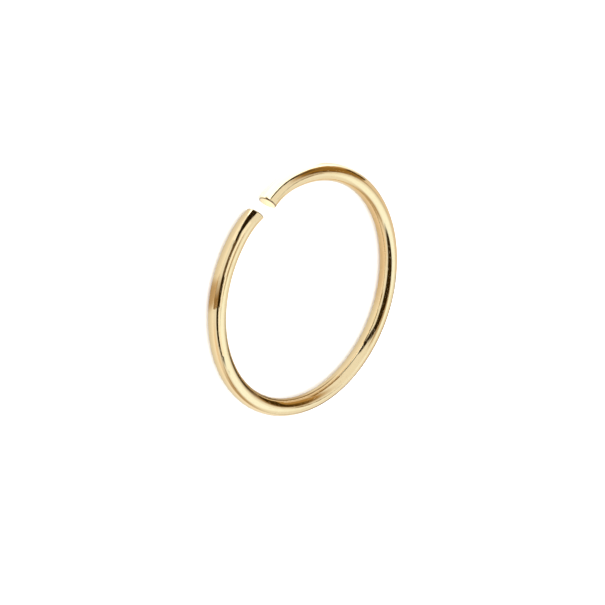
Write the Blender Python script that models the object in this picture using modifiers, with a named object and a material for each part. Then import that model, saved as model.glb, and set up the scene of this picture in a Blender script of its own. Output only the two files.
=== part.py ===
# Piercing ring: a plain open hoop of round wire, lying on its side.
# Metres, +Z up. The origin is at the hoop's centre, on the surface that it rests on.
# The gap is centred on +Y. Its left end is on the -X side, its right end on the +X side.

import math

import bmesh
import bpy
from mathutils import Vector

# Driving dimensions
WIRE_DIAMETER = 0.0008  # 20 gauge body jewellery wire
INNER_DIAMETER = 0.010  # the clear opening, which is the size such a hoop is sold by
END_GAP = 0.00074  # width of the saw cut that parts the two ends
CUT_SKEW = math.radians(12)  # how far the saw cut is turned from square, seen from above
CUT_TILT = math.radians(6)  # how far the saw cut leans from upright
LEFT_END_BEND = 0.00009  # how far in the left end stands from the true round
LEFT_BEND_LENGTH = 0.0012  # the stretch of wire over which it comes in
RIGHT_END_BEND = 0.00020
RIGHT_BEND_LENGTH = 0.0017
END_EDGE_ROUND = 0.00004  # edge taken off the cut ends when the hoop was tumbled

# Facets
WIRE_SIDES = 22  # an odd number of pairs, so that one flat side faces straight down
HOOP_STEPS = 108  # straight steps between the first and last whole sections
END_SECTION_SHARE = 0.6  # of the wire's diameter, from each cut end to the first whole section
EDGE_SEGMENTS = 2
EDGE_ANGLE = math.radians(50)  # only the rims of the cut ends are sharper than this
WELD_DISTANCE = 0.000001

# Finish
GOLD_COLOUR = (0.90, 0.68, 0.34, 1.0)
GOLD_ROUGHNESS = 0.12

WIRE_RADIUS = WIRE_DIAMETER / 2
LINE_RADIUS = INNER_DIAMETER / 2 + WIRE_RADIUS  # of the wire's centre line
LINE_HEIGHT = WIRE_RADIUS * math.cos(math.pi / WIRE_SIDES)  # puts the lowest flat at z = 0
HALF_GAP_ANGLE = END_GAP / 2 / LINE_RADIUS
END_SECTION_ANGLE = END_SECTION_SHARE * WIRE_DIAMETER / LINE_RADIUS  # room to slant the ends
SAW_NORMAL = Vector(
    (
        math.cos(CUT_SKEW) * math.cos(CUT_TILT),
        math.sin(CUT_SKEW) * math.cos(CUT_TILT),
        -math.sin(CUT_TILT),
    )
)


def clear_scene():
    for old in list(bpy.data.objects):
        bpy.data.objects.remove(old, do_unlink=True)


def gold():
    material = bpy.data.materials.new("gold_finish")
    material.use_nodes = True
    shader = material.node_tree.nodes["Principled BSDF"]
    shader.inputs["Base Color"].default_value = GOLD_COLOUR
    shader.inputs["Metallic"].default_value = 1.0
    shader.inputs["Roughness"].default_value = GOLD_ROUGHNESS
    return material


def bend_in(angle_from_end, depth, length):
    """How far the wire's line lies inside the true round, by its angle from the cut end."""
    return depth * max(0.0, 1 - angle_from_end * LINE_RADIUS / length) ** 2


def line_point(angle):
    """A point of the wire's centre line, by its angle from +Y towards -X."""
    from_left = angle - HALF_GAP_ANGLE
    from_right = 2 * math.pi - HALF_GAP_ANGLE - angle
    radius = LINE_RADIUS
    radius -= bend_in(from_left, LEFT_END_BEND, LEFT_BEND_LENGTH)
    radius -= bend_in(from_right, RIGHT_END_BEND, RIGHT_BEND_LENGTH)
    return Vector((-radius * math.sin(angle), radius * math.cos(angle), LINE_HEIGHT))


def line_angles():
    """The wire's sections, from the left cut end round to the right one."""
    first = HALF_GAP_ANGLE + END_SECTION_ANGLE
    last = 2 * math.pi - first
    step = (last - first) / HOOP_STEPS
    whole = [first + step * count for count in range(HOOP_STEPS + 1)]
    return [HALF_GAP_ANGLE, *whole, 2 * math.pi - HALF_GAP_ANGLE]


def swept_wire():
    """The bent wire as a mesh: a round section swept along its line, with both ends capped."""
    curve = bpy.data.curves.new("wire line", "CURVE")
    curve.dimensions = "3D"
    curve.twist_mode = "Z_UP"
    curve.bevel_depth = WIRE_RADIUS
    curve.bevel_resolution = (WIRE_SIDES - 4) // 2
    curve.use_fill_caps = True
    points = [line_point(angle) for angle in line_angles()]
    spline = curve.splines.new("POLY")
    spline.points.add(len(points) - 1)
    for slot, point in zip(spline.points, points):
        slot.co = (*point, 1.0)

    guide = bpy.data.objects.new("wire line", curve)
    bpy.context.scene.collection.objects.link(guide)
    evaluated = guide.evaluated_get(bpy.context.evaluated_depsgraph_get())
    mesh = bpy.data.meshes.new_from_object(evaluated)
    bpy.data.objects.remove(guide, do_unlink=True)
    bpy.data.curves.remove(curve)
    return mesh


def slant_end(cap):
    """Slide a cap's corners along the wire, on to the flat that the slanting saw left."""
    along = cap.normal.copy()
    side = -1 if cap.calc_center_median().x < 0 else 1
    saw_flat = Vector((0.0, LINE_RADIUS, LINE_HEIGHT)) + side * END_GAP / 2 * SAW_NORMAL
    for corner in cap.verts:
        corner.co += along * (saw_flat - corner.co).dot(SAW_NORMAL) / along.dot(SAW_NORMAL)


def make_hoop(collection):
    """The swept wire with its ends cut by one slanting saw cut and their edges eased."""
    mesh = swept_wire()
    mesh.name = "hoop"
    wire = bmesh.new()
    wire.from_mesh(mesh)
    bmesh.ops.remove_doubles(wire, verts=wire.verts, dist=WELD_DISTANCE)
    fans = [face for face in wire.faces if len(face.verts) == 3]
    caps = bmesh.ops.dissolve_faces(wire, faces=fans)["region"]
    wire.normal_update()
    for cap in caps:
        slant_end(cap)
    wire.to_mesh(mesh)
    wire.free()
    mesh.materials.append(gold())
    mesh.shade_smooth()
    mesh.set_sharp_from_angle(angle=EDGE_ANGLE)

    hoop = bpy.data.objects.new("hoop", mesh)
    collection.objects.link(hoop)
    edges = hoop.modifiers.new("ease the cut edges", "BEVEL")
    edges.limit_method = "ANGLE"
    edges.angle_limit = EDGE_ANGLE
    edges.width = min(END_EDGE_ROUND, WIRE_RADIUS / 2)
    edges.segments = EDGE_SEGMENTS
    return hoop


clear_scene()
ring = bpy.data.collections.new("Piercing ring")
bpy.context.scene.collection.children.link(ring)
make_hoop(ring)
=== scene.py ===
import math

import bmesh
import bpy
from mathutils import Matrix, Quaternion, Vector


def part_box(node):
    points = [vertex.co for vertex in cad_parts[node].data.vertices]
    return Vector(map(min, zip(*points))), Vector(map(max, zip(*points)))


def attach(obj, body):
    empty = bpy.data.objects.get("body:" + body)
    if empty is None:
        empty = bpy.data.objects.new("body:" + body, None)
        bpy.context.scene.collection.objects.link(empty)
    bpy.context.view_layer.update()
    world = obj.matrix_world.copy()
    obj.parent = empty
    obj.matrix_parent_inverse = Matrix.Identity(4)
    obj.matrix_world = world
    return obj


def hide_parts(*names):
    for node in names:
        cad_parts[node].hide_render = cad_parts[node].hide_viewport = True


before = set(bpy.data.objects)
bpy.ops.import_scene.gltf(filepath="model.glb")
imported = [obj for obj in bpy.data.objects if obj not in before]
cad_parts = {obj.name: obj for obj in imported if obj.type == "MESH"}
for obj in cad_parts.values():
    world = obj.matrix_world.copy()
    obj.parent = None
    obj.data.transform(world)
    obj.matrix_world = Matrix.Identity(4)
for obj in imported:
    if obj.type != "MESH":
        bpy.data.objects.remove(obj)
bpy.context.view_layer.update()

# The hoop: one length of 20 gauge steel wire, drawn round, bent once round a mandrel and parted
# by a slanting saw cut. Its ends stand slightly in from the round and their edges were eased by
# tumbling. The whole hoop was then plated in pale yellow gold and polished.
WIRE_DIAMETER = 0.0008
END_GAP = 0.00074
CUT_SKEW = math.radians(12)  # the saw's turn from square, seen from above
CUT_TILT = math.radians(6)  # the saw's lean from upright
LEFT_END_BEND = 0.00009
LEFT_BEND_LENGTH = 0.0012
RIGHT_END_BEND = 0.00020
RIGHT_BEND_LENGTH = 0.0017
SLANT_LENGTH = 0.0006  # the stretch of mesh that takes up the slant of the cut
END_EDGE_ROUND = 0.00004
END_CROWN = 0.000001  # each ring of the cut face stands this much proud of the one outside it
CUT_FACE_RINGS = (0.00003, 0.00006, 0.00010)
SECTION_SIDES = 64
HOOP_STEPS = 520
END_EDGE_STEPS = 4

low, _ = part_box("hoop")
wire_radius = WIRE_DIAMETER / 2
line_radius = -low[1] - wire_radius
half_gap = END_GAP / 2 / line_radius
round_angle = 2 * math.pi - 2 * half_gap
wire_length = round_angle * line_radius
saw_normal = Vector((1, math.tan(CUT_SKEW), -math.tan(CUT_TILT) / math.cos(CUT_SKEW))).normalized()


def bend_in(from_end, depth, length):
    """How far the wire stands in from the true round, by its distance from a cut end."""
    return depth * max(0.0, 1 - from_end / length) ** 2


def slant(outward, height, bend, side):
    """How far a point of the end section slides in X to lie on the flat that the saw left."""
    flat = Vector((0, line_radius, wire_radius)) + side * END_GAP / 2 * saw_normal
    reach = line_radius + outward
    end = Vector((side * reach * math.sin(half_gap), reach * math.cos(half_gap) - bend, height))
    return (flat - end).dot(saw_normal) / saw_normal.x


wire = bmesh.new()
straight_wire = wire.verts.layers.float_vector.new("straight_wire")
cut_face = wire.verts.layers.float.new("cut_face")
cut_edge = wire.verts.layers.float.new("cut_edge")
section = bmesh.ops.create_circle(wire, segments=SECTION_SIDES, radius=wire_radius)["verts"]
for corner in section:
    corner[straight_wire] = (0.0, corner.co.x, corner.co.y)
bmesh.ops.rotate(wire, verts=section, matrix=Matrix.Rotation(math.pi / 2, 3, "X"))
bmesh.ops.translate(wire, verts=section, vec=(line_radius, 0, wire_radius))
start = Matrix.Rotation(math.pi / 2 + half_gap, 3, "Z")
bmesh.ops.rotate(wire, verts=section, matrix=start)
bmesh.ops.spin(
    wire,
    geom=wire.verts[:] + wire.edges[:],
    cent=(0, 0, 0),
    axis=(0, 0, 1),
    angle=round_angle,
    steps=HOOP_STEPS,
    use_merge=False,
    use_normal_flip=False,
    use_duplicate=False,
)
for corner in wire.verts:
    turned = math.atan2(-corner.co.x, corner.co.y) % (2 * math.pi)
    from_left = (turned - half_gap) * line_radius
    from_right = wire_length - from_left
    _, outward, upward = corner[straight_wire]
    corner[straight_wire] = (from_left, outward, upward)
    left_bend = bend_in(from_left, LEFT_END_BEND, LEFT_BEND_LENGTH)
    right_bend = bend_in(from_right, RIGHT_END_BEND, RIGHT_BEND_LENGTH)
    radial = Vector((corner.co.x, corner.co.y, 0)).normalized()
    corner.co -= radial * (left_bend + right_bend)
    side = -1 if from_left < from_right else 1
    near_end = 1 - min(from_left, from_right) / SLANT_LENGTH
    if near_end > 0:
        bend = LEFT_END_BEND if side < 0 else RIGHT_END_BEND
        corner.co.x += near_end * slant(outward, wire_radius + upward, bend, side)

rims = [edge for edge in wire.edges if edge.is_boundary]
bmesh.ops.holes_fill(wire, edges=rims, sides=SECTION_SIDES)
rounded = bmesh.ops.bevel(
    wire,
    geom=rims,
    offset=END_EDGE_ROUND,
    segments=END_EDGE_STEPS,
    profile=0.5,
    affect="EDGES",
    material=-1,
    clamp_overlap=True,
)
for corner in rounded["verts"]:
    corner[cut_edge] = 1.0
cuts = [face for face in wire.faces if len(face.verts) == SECTION_SIDES]
for ring in CUT_FACE_RINGS:
    for corner in {corner for face in cuts for corner in face.verts}:
        corner[cut_face] = 1.0
    bmesh.ops.inset_individual(wire, faces=cuts, thickness=ring, depth=END_CROWN)
    for corner in {corner for face in cuts for corner in face.verts}:
        corner[cut_edge] = 0.0
for corner in {corner for face in cuts for corner in face.verts}:
    corner[cut_face] = 1.0
bmesh.ops.recalc_face_normals(wire, faces=wire.faces)

hoop_mesh = bpy.data.meshes.new("polished_hoop")
wire.to_mesh(hoop_mesh)
wire.free()
hoop_mesh.shade_smooth()
hoop = bpy.data.objects.new("polished_hoop", hoop_mesh)
bpy.context.scene.collection.objects.link(hoop)


class Amount:
    """A number from a node's socket. Arithmetic on it adds the Math nodes that it needs."""

    def __init__(self, finish, socket):
        self.finish = finish
        self.socket = socket

    def out(self, name):
        """Another output of the same node."""
        return Amount(self.finish, self.socket.node.outputs[name])

    def math(self, operation, first, second=0.0):
        sockets = {0: first, 1: second}
        return self.finish.node("ShaderNodeMath", {"operation": operation}, sockets)

    def __add__(self, other):
        return self.math("ADD", self, other)

    def __radd__(self, other):
        return self.math("ADD", other, self)

    def __sub__(self, other):
        return self.math("SUBTRACT", self, other)

    def __rsub__(self, other):
        return self.math("SUBTRACT", other, self)

    def __mul__(self, other):
        return self.math("MULTIPLY", self, other)

    def __rmul__(self, other):
        return self.math("MULTIPLY", other, self)

    def __truediv__(self, other):
        return self.math("DIVIDE", self, other)

    def __rtruediv__(self, other):
        return self.math("DIVIDE", other, self)

    def __pow__(self, other):
        return self.math("POWER", self, other)

    def __rpow__(self, other):
        return self.math("POWER", other, self)

    def __neg__(self):
        return self.math("MULTIPLY", self, -1.0)

    def __abs__(self):
        return self.math("ABSOLUTE", self)

    def __gt__(self, other):
        return self.math("GREATER_THAN", self, other)

    def __lt__(self, other):
        return self.math("LESS_THAN", self, other)


class Finish:
    """The nodes of one material. A node gets its settings first and then its sockets."""

    def __init__(self, name):
        self.material = bpy.data.materials.new(name)
        self.material.use_nodes = True
        self.tree = self.material.node_tree
        self.tree.nodes.clear()

    def node(self, kind, settings=None, sockets=None, out=0):
        made = self.tree.nodes.new(kind)
        for name, value in (settings or {}).items():
            setattr(made, name, value)
        for name, value in (sockets or {}).items():
            if isinstance(value, Amount):
                self.tree.links.new(value.socket, made.inputs[name])
            else:
                made.inputs[name].default_value = value
        return Amount(self, made.outputs[out]) if made.outputs else None

    def eased_step(self, value, start, end):
        """0 before start, 1 after end, and a smooth rise between them."""
        sockets = {"Value": value, "From Min": start, "From Max": end}
        settings = {"interpolation_type": "SMOOTHSTEP"}
        return self.node("ShaderNodeMapRange", settings, sockets)

    def blend(self, mask, under, over):
        """One colour laid over another where the mask is 1."""
        settings = {"data_type": "RGBA"}
        return self.node("ShaderNodeMix", settings, {0: mask, 6: under, 7: over}, out=2)


# The plating and its polish. Drawn lines run along the wire, the buffing left a slight orange
# peel and a haze, and handling left a few hairlines. The cut faces keep the saw's fine marks, and
# the rounded rim round each is painted dark brown as painted shade.
GOLD = (1.0, 0.79, 0.46, 1.0)
RUBBED_GOLD = (0.98, 0.745, 0.39, 1.0)
# The dark brown painted shade on the rounded rims of the cut faces.
PAINTED_RIM_SHADE = (0.30, 0.22, 0.13, 1.0)
POLISHED_ROUGHNESS = 0.045
HAZE_ROUGHNESS = 0.035
HAIRLINE_ROUGHNESS = 0.16
CUT_ROUGHNESS = 0.13
DRAWN_LINE = 0.00003
HAZE_PATCH = 0.0011
PEEL_PATCH = 0.00035
HAIRLINE = 0.00003
SAW_MARK = 0.000018
LINE_STRETCH = 0.03  # a grain's width as a share of its length along the wire
HAZE_STRETCH = 0.5
PEEL_STRETCH = 0.4
LINE_DETAIL = 2
HAZE_DETAIL = 3
PEEL_DETAIL = 1
HAIRLINE_DETAIL = 0
SAW_DETAIL = 2
HAIRLINE_TURNS = (0.10, -0.16)  # radians from the wire's own direction
HAIRLINE_START = 0.64  # the noise level where a hairline starts to show, and where it is full
HAIRLINE_FULL = 0.72
SAW_TURN = 0.35  # radians from upright
SAW_ROUGHNESS = 0.08
EDGE_ROUGHNESS = 0.1
RUBBED_START = 0.35
RUBBED_FULL = 0.75
RUBBED_COVER = 0.5
RIM_SHADE_COVER = 0.8
LINE_RELIEF = 0.08
PEEL_RELIEF = 0.5
SAW_RELIEF = 0.3
HAIRLINE_RELIEF = 0.1
RELIEF_STRENGTH = 0.6
RELIEF_HEIGHT = 0.000002

gold = Finish("polished_gold")
along = gold.node("ShaderNodeAttribute", {"attribute_name": "straight_wire"}, out="Vector")
is_cut = gold.node("ShaderNodeAttribute", {"attribute_name": "cut_face"}, out="Fac")
is_edge = gold.node("ShaderNodeAttribute", {"attribute_name": "cut_edge"}, out="Fac")


def grain(size, stretch, turn, detail):
    """Noise of that grain size on the straightened wire, drawn out along it and turned."""
    settings = {"vector_type": "TEXTURE"}
    sockets = {"Vector": along, "Rotation": (0, turn, turn), "Scale": (1 / stretch, 1, 1)}
    drawn_out = gold.node("ShaderNodeMapping", settings, sockets)
    sockets = {"Vector": drawn_out, "Scale": 1 / size, "Detail": detail}
    return gold.node("ShaderNodeTexNoise", None, sockets)


drawn_lines = grain(DRAWN_LINE, LINE_STRETCH, 0, LINE_DETAIL)
haze = grain(HAZE_PATCH, HAZE_STRETCH, 0, HAZE_DETAIL)
peel = grain(PEEL_PATCH, PEEL_STRETCH, 0, PEEL_DETAIL)
hairlines = 0
for turn in HAIRLINE_TURNS:
    scratches = grain(HAIRLINE, LINE_STRETCH, turn, HAIRLINE_DETAIL)
    hairlines = hairlines + gold.eased_step(scratches, HAIRLINE_START, HAIRLINE_FULL)
place = gold.node("ShaderNodeTexCoord", out="Object")
split = gold.node("ShaderNodeSeparateXYZ", None, {0: place})
stroke = split.out("Z") * math.cos(SAW_TURN) + split.out("Y") * math.sin(SAW_TURN)
settings = {"noise_dimensions": "1D"}
sockets = {"W": stroke / SAW_MARK, "Detail": SAW_DETAIL}
saw_marks = gold.node("ShaderNodeTexNoise", settings, sockets)
roughness = POLISHED_ROUGHNESS + HAZE_ROUGHNESS * haze + HAIRLINE_ROUGHNESS * hairlines
roughness = roughness + is_cut * (CUT_ROUGHNESS + SAW_ROUGHNESS * saw_marks)
roughness = roughness + EDGE_ROUGHNESS * is_edge
rubbed = gold.eased_step(haze, RUBBED_START, RUBBED_FULL) * RUBBED_COVER
colour = gold.blend(rubbed, GOLD, RUBBED_GOLD)
# Painted shade: the rounded rim of each cut face is painted dark brown, as a dark outline round the
# face.
colour = gold.blend(is_edge * RIM_SHADE_COVER, colour, PAINTED_RIM_SHADE)
relief = LINE_RELIEF * drawn_lines * (1 - is_cut) + PEEL_RELIEF * peel * (1 - is_cut)
relief = relief + SAW_RELIEF * is_cut * saw_marks - HAIRLINE_RELIEF * hairlines
sockets = {"Strength": RELIEF_STRENGTH, "Distance": RELIEF_HEIGHT, "Height": relief}
normal = gold.node("ShaderNodeBump", None, sockets)
surface = gold.node("ShaderNodeBsdfPrincipled", None, {
    "Base Color": colour,
    "Metallic": 1.0,
    "Roughness": roughness,
    "Normal": normal,
})
gold.node("ShaderNodeOutputMaterial", None, {"Surface": surface})
hoop_mesh.materials.append(gold.material)
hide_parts("hoop")
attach(hoop, "root")

# The sheet: the plain white surface that the hoop lies on, with a dull finish. The metal doesn't
# mirror it. What the metal sees below its own level is the glow sheet further down.
SHEET_SIDE = 3.0
SHEET_WHITE = (0.93, 0.93, 0.93, 1.0)

sheet = bmesh.new()
bmesh.ops.create_grid(sheet, x_segments=1, y_segments=1, size=SHEET_SIDE / 2)
sheet_mesh = bpy.data.meshes.new("white_sheet")
sheet.to_mesh(sheet_mesh)
sheet.free()
white_sheet = bpy.data.objects.new("white_sheet", sheet_mesh)
bpy.context.scene.collection.objects.link(white_sheet)
white_sheet.visible_glossy = False
dull_white = Finish("dull_white")
surface = dull_white.node("ShaderNodeBsdfDiffuse", None, {"Color": SHEET_WHITE})
dull_white.node("ShaderNodeOutputMaterial", None, {"Surface": surface})
sheet_mesh.materials.append(dull_white.material)

# The tent: a white dome round the hoop, hung with soft-edged dark and brown cloths and lit by one
# large soft light. Their reflections in the polished metal give the wire its bands.
TENT_RADIUS = 0.5
TENT_SUBDIVISIONS = 4
GREEN_LOSS = 0.36  # the green and blue that a light of warmth 1 lacks
BLUE_LOSS = 0.72


def tone(brightness, warmth):
    """A light's colour, from neutral at warmth 0 to brown at 1."""
    green = 1 - GREEN_LOSS * warmth
    blue = 1 - BLUE_LOSS * warmth
    return (brightness, brightness * green, brightness * blue, 1.0)


def towards(azimuth, elevation):
    """The direction that lies at that azimuth and elevation, in degrees."""
    turned = math.radians(azimuth)
    risen = math.radians(elevation)
    flat = math.cos(risen)
    return Vector((flat * math.cos(turned), flat * math.sin(turned), math.sin(risen)))


def only_in_metal(piece, finish, glow, cover=1.0):
    """Gives a stage piece a glow that is seen nowhere but in the metal's reflections."""
    clear = finish.node("ShaderNodeBsdfTransparent")
    light = finish.node("ShaderNodeEmission", None, {"Color": glow})
    surface = finish.node("ShaderNodeMixShader", None, {0: cover, 1: clear, 2: light})
    finish.node("ShaderNodeOutputMaterial", None, {"Surface": surface})
    finish.material.cycles.emission_sampling = "NONE"
    piece.data.materials.append(finish.material)
    piece.visible_camera = False
    piece.visible_diffuse = False
    piece.visible_shadow = False
    piece.visible_transmission = False


dome = bmesh.new()
bmesh.ops.create_icosphere(dome, subdivisions=TENT_SUBDIVISIONS, radius=TENT_RADIUS)
dome_mesh = bpy.data.meshes.new("tent")
dome.to_mesh(dome_mesh)
dome.free()
tent = bpy.data.objects.new("tent", dome_mesh)
bpy.context.scene.collection.objects.link(tent)
cloth = Finish("tent_cloth")
position = cloth.node("ShaderNodeTexCoord", out="Object")
outwards = cloth.node("ShaderNodeVectorMath", {"operation": "NORMALIZE"}, {0: position})


def hang(under, at, size, turn, softness, light):
    """Lays one soft-edged oval over the tent's colour. Places and sizes are in degrees."""
    middle = towards(*at)
    level = towards(at[0] + 90, 0)
    upright = middle.cross(level)
    lean = math.radians(turn)
    across = level * math.cos(lean) + upright * math.sin(lean)
    along_height = upright * math.cos(lean) - level * math.sin(lean)
    settings = {"operation": "DOT_PRODUCT"}
    reach = []
    for axis, wide in zip((across, along_height), size):
        sockets = {0: outwards, 1: axis / math.sin(math.radians(wide / 2))}
        reach.append(cloth.node("ShaderNodeVectorMath", settings, sockets, out="Value"))
    sockets = {0: outwards, 1: middle}
    facing = cloth.node("ShaderNodeVectorMath", settings, sockets, out="Value")
    from_middle = (reach[0] * reach[0] + reach[1] * reach[1]) ** 0.5
    mask = (1 - cloth.eased_step(from_middle, 1 - softness, 1)) * (facing > 0)
    return cloth.blend(mask, under, light)


# Each has its middle (azimuth and elevation), its width and height, its turn, softness and light.
glow = tone(0.85, -0.1)
glow = hang(glow, (-105, 50), (80, 60), 20, 0.3, tone(1.0, -0.4))  # the large soft light
glow = hang(glow, (-170, 5), (60, 50), 0, 0.7, tone(0.85, 0.4))  # a golden cloth
glow = hang(glow, (0, 90), (35, 30), 0, 0.4, tone(0.5, 0.6))  # the hole in the tent's top
glow = hang(glow, (160, 60), (90, 60), 0, 0.2, tone(0.03, 1.3))  # the black cloth
glow = hang(glow, (95, 30), (26, 60), -25, 0.4, tone(0.02, 1.2))  # the black strip
glow = hang(glow, (-8, 24), (75, 76), 0, 0.45, tone(0.42, 1.1))  # the brown cloth
glow = hang(glow, (-46, 47), (16, 8), 0, 0.5, tone(0.3, 0.9))  # its upper corner
glow = hang(glow, (-16, 36), (46, 34), 0, 0.6, tone(0.13, 1.3))  # its shaded top
glow = hang(glow, (-22, 10), (20, 80), 0, 0.3, tone(0.05, 1.3))  # its dark fold
glow = hang(glow, (-40, 6), (30, 66), 15, 0.6, tone(0.07, 1.0))  # the dark board beside it
glow = hang(glow, (-62, 5), (12, 60), 0, 0.5, tone(0.7, 0.2))  # a narrow grey strip
glow = hang(glow, (-125, 5), (60, 100), 30, 0.7, tone(0.52, 0.6))  # the khaki cloth
glow = hang(glow, (-136, 24), (66, 9), -32, 0.8, tone(0.35, 0.9))  # and its olive fold
only_in_metal(tent, cloth, glow)

# The cards: eleven small curved cards close round the hoop, as a photographer sets them. Eight
# stand outside it, and three lie level above its outer edge. The wire's outer side mirrors them
# large, and its inner side, farther off, hardly at all.
CARD_STEPS = 24


def stand_card(name, azimuths, radii, heights, light, rise=0.0, taper=1.0, fade=0.0):
    """A card bent round the hoop's axis, between two azimuths in degrees. Along its length it can
    rise, narrow or widen to a share of its height, and fade in over the first share of the way."""
    card = bmesh.new()
    cover = card.verts.layers.float.new("cover")
    turned = Matrix.Rotation(math.radians(azimuths[0]), 3, "Z")
    ends = [card.verts.new(turned @ Vector((r, 0, z))) for r, z in zip(radii, heights)]
    bmesh.ops.spin(
        card,
        geom=ends + [card.edges.new(ends)],
        cent=(0, 0, 0),
        axis=(0, 0, 1),
        angle=math.radians(azimuths[1] - azimuths[0]),
        steps=CARD_STEPS,
    )
    middle = sum(heights) / 2
    for corner in card.verts:
        azimuth = math.degrees(math.atan2(corner.co.y, corner.co.x))
        share = (azimuth - azimuths[0]) / (azimuths[1] - azimuths[0])
        narrowed = 1 - (1 - taper) * share
        corner.co.z = middle + (corner.co.z - middle) * narrowed + rise * share
        corner[cover] = min(1.0, share / fade) if fade else 1.0
    card_mesh = bpy.data.meshes.new(name)
    card.to_mesh(card_mesh)
    card.free()
    piece = bpy.data.objects.new(name, card_mesh)
    bpy.context.scene.collection.objects.link(piece)
    board = Finish(name)
    covered = board.node("ShaderNodeAttribute", {"attribute_name": "cover"}, out="Fac")
    only_in_metal(piece, board, light, covered)


# Each has its azimuths, then its lower and upper edge's radii and heights, and its light.
CLOSE_RADII = (0.007, 0.007)
BEHIND_FLAG = (0.0073, 0.0073)
BEHIND_WHITE = (0.0076, 0.0076)
OUTER_RADII = (0.009, 0.009)
FARTHEST_RADII = (0.0095, 0.0095)
LEVEL_RADII = (0.0057, 0.0070)
NARROW_LEVEL_RADII = (0.0055, 0.0064)
LEVEL_HEIGHTS = (0.003, 0.003)
BLACK = tone(0.02, 1.2)
WHITE = tone(1.0, -0.1)
OLIVE = tone(0.14, 0.9)
BROWN = tone(0.32, 1.0)
DARK = tone(0.04, 0.8)
TAN = tone(0.28, 1.2)
BRIGHT = tone(1.7, -0.3)
GREY = tone(0.75, 0.3)
stand_card("gap_flag", (84, 109), CLOSE_RADII, (0, 0.0031), BLACK, taper=0.2)
stand_card("gap_white_card", (92, 109), BEHIND_FLAG, (0, 0.003), WHITE, rise=-0.0007, taper=0.5)
stand_card("olive_card", (105, 128), BEHIND_WHITE, (0.0018, 0.0034), OLIVE)
stand_card("left_white_card", (92, 129), LEVEL_RADII, LEVEL_HEIGHTS, WHITE)
stand_card("middle_white_card", (129, 147), NARROW_LEVEL_RADII, LEVEL_HEIGHTS, WHITE)
stand_card("far_white_card", (147, 178), LEVEL_RADII, LEVEL_HEIGHTS, WHITE)
stand_card("brown_card", (128, 148), OUTER_RADII, (0, 0.0034), BROWN, fade=0.7)
stand_card("dark_rail", (28, 79), OUTER_RADII, (0.0018, 0.0036), DARK, rise=0.0016, fade=0.4)
stand_card("tan_card", (-2, 40), FARTHEST_RADII, (0.0019, 0.0056), TAN)
stand_card("low_white_card", (30, 84), CLOSE_RADII, (0, 0.0004), BRIGHT, rise=0.0008, taper=5.0)
stand_card("low_grey_card", (-40, 9), CLOSE_RADII, (0, 0.0018), GREY)

# The glow sheet: a glowing panel in the plane of the white sheet, seen only in the metal, which
# stands in for the white sheet there. Its sectors inside and outside the hoop are painted light and
# painted shade, and a painted contact shadow runs along the wire; they give the wire's lower half
# its tones.
CONTACT_SHADE = 0.5
CONTACT_REACH = 0.0009
CONTACT_TONE = tone(0.2, 0.6)
MIDDLE_RADIUS = 0.0045

panel = bmesh.new()
bmesh.ops.create_grid(panel, x_segments=1, y_segments=1, size=SHEET_SIDE / 2)
panel_mesh = bpy.data.meshes.new("glow_sheet")
panel.to_mesh(panel_mesh)
panel.free()
glow_sheet = bpy.data.objects.new("glow_sheet", panel_mesh)
bpy.context.scene.collection.objects.link(glow_sheet)
pane = Finish("glow_pane")
position = pane.node("ShaderNodeTexCoord", out="Object")
from_centre = pane.node("ShaderNodeVectorMath", {"operation": "LENGTH"}, {0: position}, out="Value")
heading = pane.node("ShaderNodeVectorMath", {"operation": "NORMALIZE"}, {0: position})
outside = from_centre > line_radius
middle = from_centre < MIDDLE_RADIUS


def sector(under, side, azimuth, half_width, softness, light):
    """Lays one soft-edged sector over the sheet's colour, within the part of it that is given:
    painted light where it is brighter, painted shade where it is darker.
    """
    settings = {"operation": "DOT_PRODUCT"}
    sockets = {0: heading, 1: towards(azimuth, 0)}
    facing = pane.node("ShaderNodeVectorMath", settings, sockets, out="Value")
    edge = math.cos(math.radians(half_width))
    full = math.cos(math.radians(half_width * (1 - softness)))
    mask = pane.eased_step(facing, edge, full) * side
    return pane.blend(mask, under, light)


# Each has its side, its middle's azimuth, half its width in degrees, its softness and its light.
glow = tone(0.95, 0.0)
glow = sector(glow, outside, -35, 50, 0.3, tone(0.65, 0.3))  # painted grey shade outside
glow = sector(glow, outside, 50, 40, 0.3, tone(1.2, -0.3))  # a painted pool of light outside, by the upper end
glow = sector(glow, outside, 68, 25, 0.2, tone(2.2, -0.3))  # and its brightest part
glow = sector(glow, outside, -75, 40, 0.45, tone(0.27, 1.0))  # painted brown shade outside, on the far side
glow = sector(glow, outside, 137, 9, 0.9, tone(0.6, 0.7))  # painted brown shade outside, at the brown card's foot
glow = sector(glow, 1 - outside, -20, 40, 0.5, tone(0.85, 0.4))  # painted khaki shade inside
glow = sector(glow, 1 - outside, -150, 40, 0.3, tone(0.7, 0.3))  # and a painted pale tan shade inside
glow = sector(glow, middle, -115, 26, 0.5, tone(0.32, 1.0))  # painted brown shade in the middle of the hoop
glow = sector(glow, middle, -133, 9, 0.4, tone(0.05, 1.2))  # and a painted dark shade within it
glow = sector(glow, 1 - outside, 88, 15, 0.5, tone(1.6, 0.0))  # a painted pool of light inside, which the cut face mirrors
# Painted contact shadow: the panel darkens towards the wire's line and fades out with distance from
# it.
from_wire = abs(from_centre - line_radius)
shade = CONTACT_SHADE * math.e ** (-from_wire / CONTACT_REACH)
glow = pane.blend(shade, glow, CONTACT_TONE)
only_in_metal(glow_sheet, pane, glow)

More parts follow.
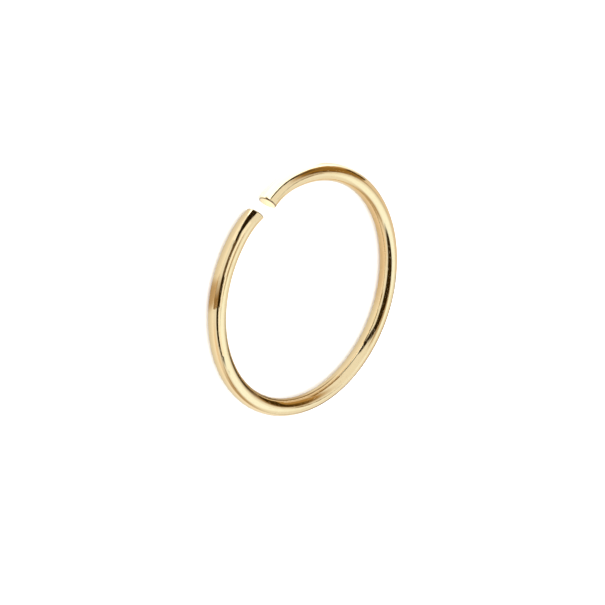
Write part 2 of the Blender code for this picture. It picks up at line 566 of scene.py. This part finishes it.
# The light on the sheet: an even, bright white surround, as in a light tent. It washes out the
# sheet and leaves hardly a shadow round the wire, as in the photograph.
SURROUND_STRENGTH = 2.2
SURROUND_WHITE = (1.0, 1.0, 1.0, 1.0)

world = bpy.data.worlds.new("white_surround")
world.use_nodes = True
world.node_tree.nodes["Background"].inputs["Color"].default_value = SURROUND_WHITE
world.node_tree.nodes["Background"].inputs["Strength"].default_value = SURROUND_STRENGTH
bpy.context.scene.world = world
bpy.context.scene.view_settings.view_transform = "Standard"
bpy.context.scene.view_settings.look = "None"

# The camera: a long lens 130 mm from the hoop and 41 degrees above its plane, rolled so that the
# hoop stands in the picture as it does in the photograph.
CAMERA_AZIMUTH = 120.78
CAMERA_ELEVATION = 41.27
CAMERA_ROLL = math.radians(109.4)
CAMERA_DISTANCE = 0.130
PICTURE_PIXELS = 605
HOOP_RADIUS_PIXELS = 121.53
HOOP_CENTRE_PIXELS = (304.71, 289.85)
SENSOR_WIDTH = 36.0
NEAREST_SEEN = 0.001
FARTHEST_SEEN = 10

back = towards(CAMERA_AZIMUTH, CAMERA_ELEVATION)
pose = back.to_track_quat("Z", "Y") @ Quaternion((0, 0, 1), CAMERA_ROLL)
pixel = line_radius / HOOP_RADIUS_PIXELS
middle_pixel = (PICTURE_PIXELS - 1) / 2
off_centre = Vector((
    middle_pixel - HOOP_CENTRE_PIXELS[0],
    HOOP_CENTRE_PIXELS[1] - middle_pixel,
    CAMERA_DISTANCE / pixel,
))
camera_data = bpy.data.cameras.new("camera")
camera_data.sensor_width = SENSOR_WIDTH
camera_data.lens = SENSOR_WIDTH * CAMERA_DISTANCE / (PICTURE_PIXELS * pixel)
camera_data.clip_start = NEAREST_SEEN
camera_data.clip_end = FARTHEST_SEEN
camera = bpy.data.objects.new("camera", camera_data)
bpy.context.scene.collection.objects.link(camera)
camera.rotation_mode = "QUATERNION"
camera.rotation_quaternion = pose
camera.location = Vector((0, 0, wire_radius)) + pose @ (off_centre * pixel)
bpy.context.scene.camera = camera
